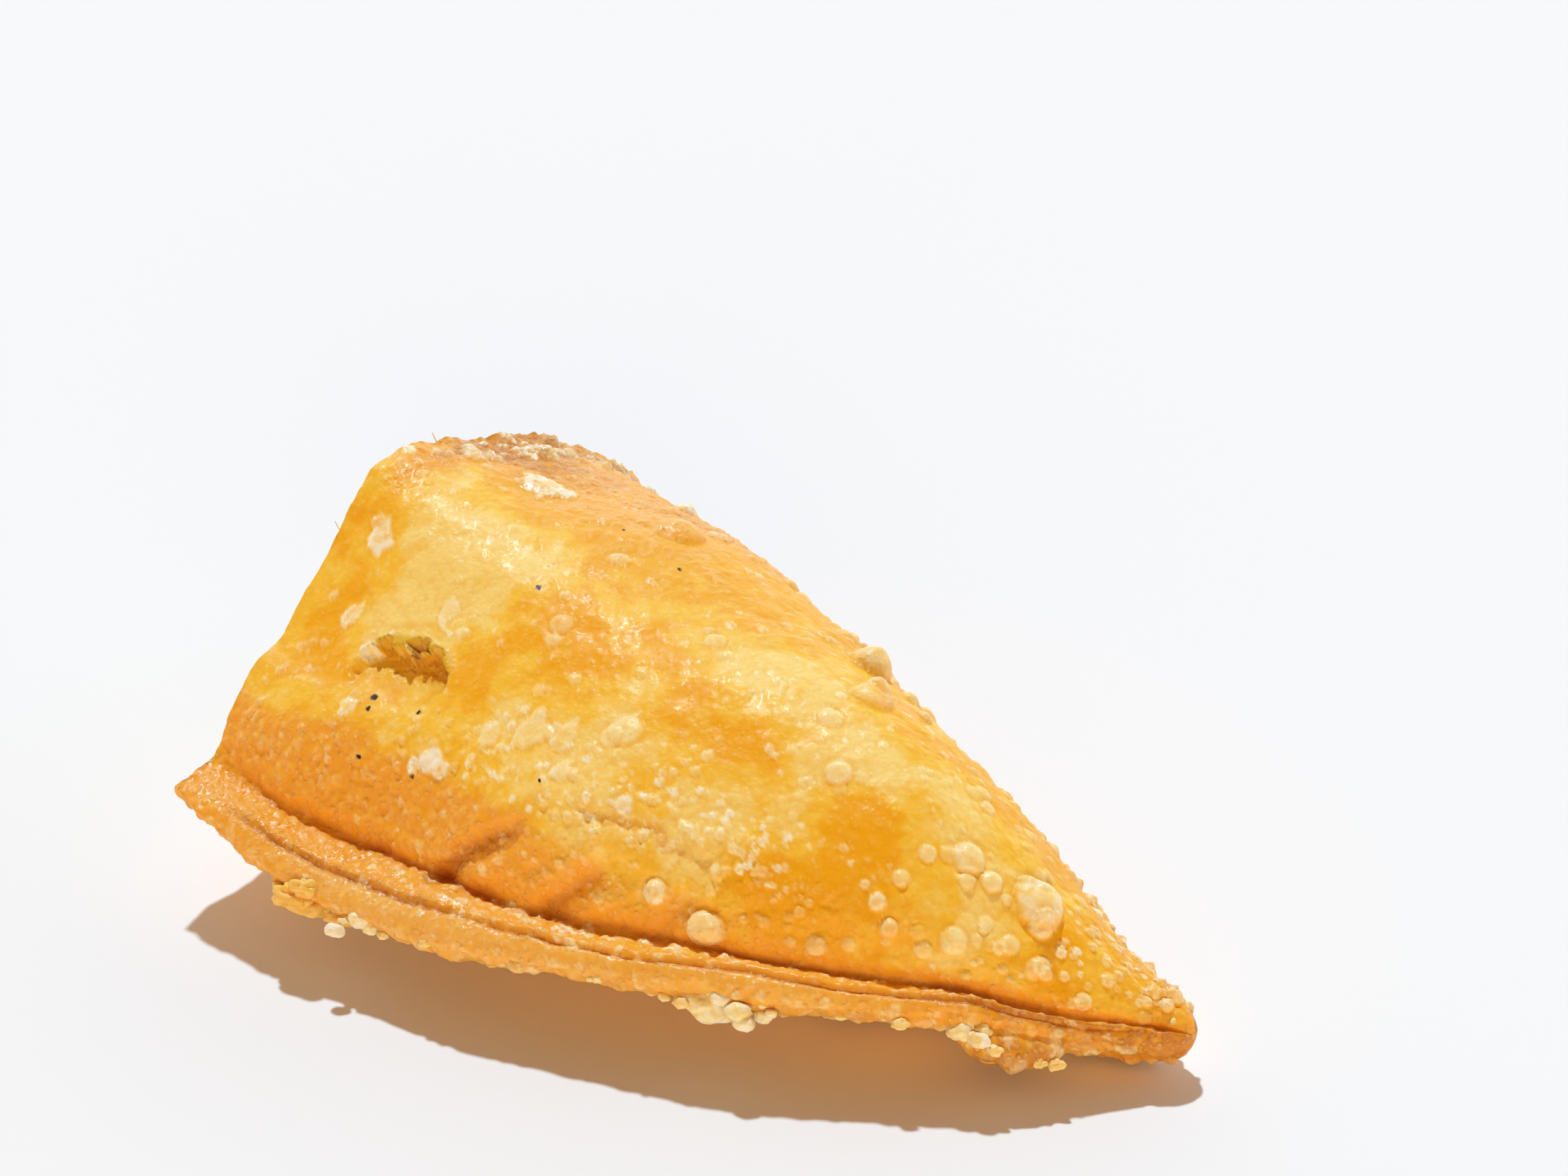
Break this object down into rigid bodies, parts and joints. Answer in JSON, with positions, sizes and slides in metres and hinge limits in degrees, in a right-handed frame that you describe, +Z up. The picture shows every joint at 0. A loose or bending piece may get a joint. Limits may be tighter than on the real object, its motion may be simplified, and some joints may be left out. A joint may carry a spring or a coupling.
{
  "type": "empanada",
  "caption": "Half of a deep-fried empanada, cut across: blistered golden dough with a pressed seam, filled with shredded chicken and peppers.",
  "frame": {"origin": "middle of the footprint's box, on the surface it rests on", "axes": "+X along the seam from the cut to the closed tip, +Y from the seam to the fold, +Z up"},
  "size_m": [0.0698, 0.0578, 0.0245],
  "materials": {
    "crust": "fried dough, oily sheen",
    "filling": "moist shredded chicken",
    "dark_green": "cooked green pepper",
    "green": "cooked green pepper",
    "yellow": "cooked yellow vegetable",
    "red": "cooked red pepper",
    "orange": "cooked carrot"
  },
  "bodies": {
    "root": {"crust": "crust", "filling": "filling", "green_piece_1": "dark_green", "green_piece_2": "green", "green_piece_3": "green", "green_piece_4": "green", "yellow_piece": "yellow", "red_piece_1": "red", "red_piece_2": "red", "orange_piece": "orange"}
  },
  "joints": []
}
